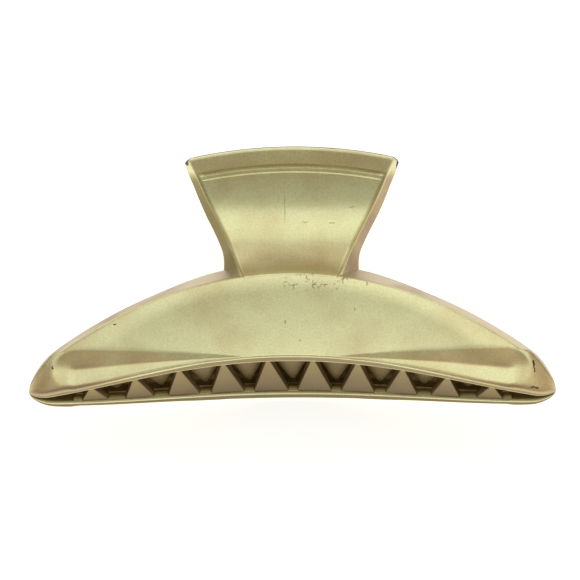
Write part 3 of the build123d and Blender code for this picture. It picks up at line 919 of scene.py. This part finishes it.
# The hinge ears: two knuckles behind each handle, moulded in one with it. The back jaw's stand
# outside the front jaw's, and the pin runs through all four.
ear_radius = 3.0
ear_width = 1.6
ear_gap = 0.3
ear_web = 4.2
ear_edge = 0.3
ear_foot_edge = 0.3
ear_sink = 0.2
ear_flare = 1.2
ear_arc_steps = 10
back_ear_offset = 8.0
ear_offsets = {"front": back_ear_offset - ear_width - ear_gap, "back": back_ear_offset}


def ears(offset):
    """Two plates with a round end at the pin, their rims rounded over and their sides closed."""
    turn = np.linspace(0, math.pi / 2, 5)
    shrink = np.concatenate([ear_edge * (1 - np.sin(turn)), ear_edge * (1 - np.cos(turn[1:]))])
    shift = np.concatenate([-ear_width / 2 + ear_edge * (1 - np.cos(turn)),
                            ear_width / 2 - ear_edge * (1 - np.sin(turn[1:]))])
    shrink = np.concatenate([[ear_radius], shrink, [ear_radius]])
    shift = np.concatenate([[-ear_width / 2], shift, [ear_width / 2]])
    foot = waist_reach + ear_sink
    keep = 1 - shrink / ear_radius
    centre = np.array([foot / 2, hinge_height])
    corners = np.array([
        (-ear_radius, hinge_height + ear_radius),
        (foot, hinge_height + ear_radius),
        (foot + ear_flare, hinge_height - ear_web),
        (-ear_radius, hinge_height - ear_radius),
    ])
    corners = centre + (corners[:, None] - centre) * keep[None, :, None]
    radii = np.array([ear_radius, ear_foot_edge, ear_foot_edge, ear_radius])[:, None] * keep[None, :]
    loop = rounded(corners, radii, ear_arc_steps, [[0.5]] * 4)
    x = shift[:, None] + 0 * loop[..., 0]
    return np.stack([x - offset, x + offset]), np.stack([loop[..., 0]] * 2), np.stack([loop[..., 1]] * 2)


for side, body in ((-1, "front"), (1, "back")):
    x, reach, height = ears(ear_offsets[body])
    knuckles = piece(body + "_ears", lay(x, side * reach, height), inside_thin_spray_and_shade, body, gold)
    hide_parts(body + "_jaw")


# The hinge pin: a plain rod of drawn steel, cut square and pressed through the ears. It keeps its
# shape from the frame and takes a bright, finely drawn finish.
def drawn_steel(name, colour, roughness, line_width):
    """Cold drawn steel: a grey metal with fine lines along the drawing direction and a dull glint.
    The real lines are finer than the render can show, so they are drawn 0.1 to 0.15 mm apart."""
    line_length = 0.0125
    material = bpy.data.materials.new(name)
    material.use_nodes = True
    tree = material.node_tree
    tree.nodes.clear()
    place = add(tree, "ShaderNodeTexCoord").outputs["Object"]
    stretch = add(tree, "ShaderNodeMapping", [
        ("Vector", place), ("Scale", (1 / line_length, 1 / line_width, 1 / line_width))])
    lines = add(tree, "ShaderNodeTexNoise", [
        ("Vector", stretch.outputs[0]), ("Scale", 1.0), ("Detail", 2.0)])
    tone = ramp(tree, lines.outputs[0], [(0.3, linear(colour)), (0.7, linear("#A9A7A2"))])
    rough = add(tree, "ShaderNodeMapRange", [
        ("Value", lines.outputs[0]), ("To Min", roughness), ("To Max", roughness + 0.15)])
    shader = add(tree, "ShaderNodeBsdfPrincipled", [
        ("Base Color", tone), ("Metallic", 1.0), ("Roughness", rough.outputs[0])])
    add(tree, "ShaderNodeOutputMaterial", [("Surface", shader.outputs[0])])
    return material


pin = frame["nodes"]["hinge_pin"]
pin.data.materials.clear()
pin.data.materials.append(drawn_steel("drawn_steel_pin", "#77746F", 0.28, 0.00015))


# The torsion spring: oil-tempered steel wire wound round the pin, one leg up the inside of each
# handle.
wire_radius = 0.55
coil_radius = 2.6
coil_turns = 5
coil_pitch = 1.6
leg_length = 9.0
leg_gap = 0.15
cut_end = 0.7
coil_points, leg_points, wire_sides = 320, 14, 12


def spring_wire():
    """Tube along a straight leg, a helix about the pin and the other leg, on tangents to the helix,
    each leg at the lean that lays it against the inside of its handle."""
    height = hinge_height + leg_length
    lean_run = math.asin(min(1.0, (waist_height - height) / scoop_radius))
    stand = waist_reach + scoop_radius * (1 - math.cos(lean_run)) - handle_wall - wire_radius - leg_gap
    lean = math.asin((stand - coil_radius) / leg_length)
    first = math.pi + lean
    turn = 2 * math.pi * coil_turns + math.pi - 2 * lean
    length = coil_pitch * turn / (2 * math.pi)
    angle = first + np.linspace(0, turn, coil_points)
    helix = np.stack([-length / 2 + length * (angle - first) / turn,
                      coil_radius * np.cos(angle), coil_radius * np.sin(angle)], -1)
    slope = np.stack([np.full(len(angle), length / turn),
                      -coil_radius * np.sin(angle), coil_radius * np.cos(angle)], -1)
    slope /= np.linalg.norm(slope, axis=1, keepdims=True)
    legs = np.linspace(leg_length, 0.2, leg_points)[:, None]
    path = np.concatenate([helix[:1] - slope[:1] * legs, helix, helix[-1:] + slope[-1:] * legs[::-1]])
    along = np.concatenate([np.repeat(slope[:1], leg_points, 0), slope,
                            np.repeat(slope[-1:], leg_points, 0)])
    side_way = np.array([1.0, 0, 0]) - along * along[:, :1]
    side_way /= np.linalg.norm(side_way, axis=1, keepdims=True)
    up_way = np.cross(along, side_way)
    around = np.linspace(0, 2 * math.pi, wire_sides + 1)[:-1][None, :, None]
    size = np.full(len(path), wire_radius)
    size[[0, -1]] = cut_end * wire_radius
    ring = (np.cos(around) * side_way[:, None] + np.sin(around) * up_way[:, None]) * size[:, None, None]
    tube = path[:, None] + ring
    tube = np.concatenate([tube[:1].mean(1, keepdims=True) + 0 * tube[:1], tube,
                           tube[-1:].mean(1, keepdims=True) + 0 * tube[-1:]], 0)
    return tube[..., 0], tube[..., 1], tube[..., 2] + hinge_height


x, y, z = spring_wire()
wire = drawn_steel("oil_tempered_spring_wire", "#5E5B57", 0.32, 0.00012)
spring = piece("spring_wire", lay(x, y, z)[None], 1.0, "back", wire)
# The wire belongs to both jaws, so it leaves the one that piece() gave it and stays with neither, its
# place baked into its points.
spring.parent = None
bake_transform(spring)
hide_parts("torsion_spring")


# The table top: plain pale card, wide enough to fill the view. It glows a little, as a lit paper
# sweep does. Its two colours are linear values.
card_half = 20
card_grey = (0.82, 0.82, 0.82, 1)
card_glow = (0.96, 0.97, 0.97, 1)
card_glow_strength = 0.74
card_corners = [(-card_half, -card_half, 0), (card_half, -card_half, 0),
                (card_half, card_half, 0), (-card_half, card_half, 0)]
floor_mesh = bpy.data.meshes.new("pale_card")
floor_mesh.from_pydata(card_corners, [], [(0, 1, 2, 3)])
floor = bpy.data.objects.new("pale_card", floor_mesh)
bpy.context.scene.collection.objects.link(floor)
card = bpy.data.materials.new("matt_white_card")
card.use_nodes = True
card_shader = card.node_tree.nodes["Principled BSDF"]
card_shader.inputs["Base Color"].default_value = card_grey
card_shader.inputs["Roughness"].default_value = 0.9
card_shader.inputs["Emission Color"].default_value = card_glow
card_shader.inputs["Emission Strength"].default_value = card_glow_strength
floor_mesh.materials.append(card)

# The light: a broad softbox beyond the handles, a weaker one at each side, and a white room that is
# warm low down, paler overhead and brighter on its right.
room = bpy.data.worlds.new("white_room")
room.use_nodes = True
way = add(room.node_tree, "ShaderNodeTexCoord").outputs["Generated"]
sides = add(room.node_tree, "ShaderNodeSeparateXYZ", [(0, way)]).outputs
warm_low, pale_high = (0.9, 0.68, 0.48, 1), (0.98, 0.97, 0.8, 1)
walls = ramp(room.node_tree, sides["Z"], [(0.2, warm_low), (0.75, pale_high)])
window = add(room.node_tree, "ShaderNodeMapRange", [
    ("Value", sides["X"]), ("From Min", -1.0), ("To Min", 0.27), ("To Max", 0.52)])
backdrop = room.node_tree.nodes["Background"]
room.node_tree.links.new(walls, backdrop.inputs["Color"])
room.node_tree.links.new(window.outputs[0], backdrop.inputs["Strength"])
bpy.context.scene.world = room


def placed(axes, spot):
    """A matrix from three axes and a place, as its four columns."""
    return Matrix(np.vstack([np.column_stack([*axes, spot]), [0, 0, 0, 1]]).tolist())


def softbox(name, azimuth, elevation, distance, size, power, tint):
    """An area light facing the clip from an azimuth, 0 beyond the handles, and an elevation, in
    degrees, at a distance in metres."""
    light = bpy.data.lights.new(name, "AREA")
    light.shape = "RECTANGLE"
    light.size, light.size_y = size
    light.energy = power
    light.color = tint
    obj = bpy.data.objects.new(name, light)
    a, e = math.radians(azimuth), math.radians(elevation)
    way = np.array([math.sin(a) * math.cos(e), math.cos(a) * math.cos(e), math.sin(e)])
    side_way = np.array([math.cos(a), -math.sin(a), 0.0])
    obj.matrix_world = placed([side_way, np.cross(way, side_way), way], way * distance)
    bpy.context.scene.collection.objects.link(obj)


softbox("far_softbox", 3, 56, 0.8, (1.5, 0.42), 2.05, (0.97, 1.0, 0.93))
softbox("right_softbox", 95, 40, 0.9, (0.8, 0.5), 0.5, (1.0, 0.98, 0.95))
softbox("left_softbox", -95, 40, 0.9, (0.8, 0.5), 0.7, (0.97, 1.0, 0.97))

# The camera: 0.45 m away, at the photo's angle, raised 65.6 degrees over the table at the jaws' side.
# Its lens and shift put the clip at the photo's size and place in a square frame.
distance = 450.0
look_height = 16.3
below = math.radians(22.0)
aside = math.radians(1.95)
roll = math.radians(-0.43)
scale_px_mm = 5.214
centre_px = (292.0, 328.96)
frame_px = 580
right = np.array([math.cos(aside), math.sin(aside), 0.0])
ahead = np.array([-math.sin(aside) * math.cos(below), math.cos(aside) * math.cos(below), math.sin(below)])
above = np.cross(right, ahead)
camera_x = right * math.cos(roll) - above * math.sin(roll)
camera_y = right * math.sin(roll) + above * math.cos(roll)
target = np.array([0.0, 0.0, look_height])
origin = lay(0, 0, 0)
axes = [lay(*v) - origin for v in (camera_x, camera_y, -ahead)]
axes = [v / np.linalg.norm(v) for v in axes]
spot = lay(*(target - ahead * distance))
lens = bpy.data.cameras.new("camera")
lens.sensor_width = 36.0
lens.lens = lens.sensor_width * scale_px_mm * distance / frame_px
lens.shift_x = (frame_px / 2 - centre_px[0]) / frame_px
lens.shift_y = (centre_px[1] - frame_px / 2) / frame_px
lens.clip_start = 0.01
camera = bpy.data.objects.new("camera", lens)
camera.matrix_world = placed(axes, spot)
bpy.context.scene.collection.objects.link(camera)
bpy.context.scene.camera = camera
bpy.context.scene.view_settings.view_transform = "Standard"
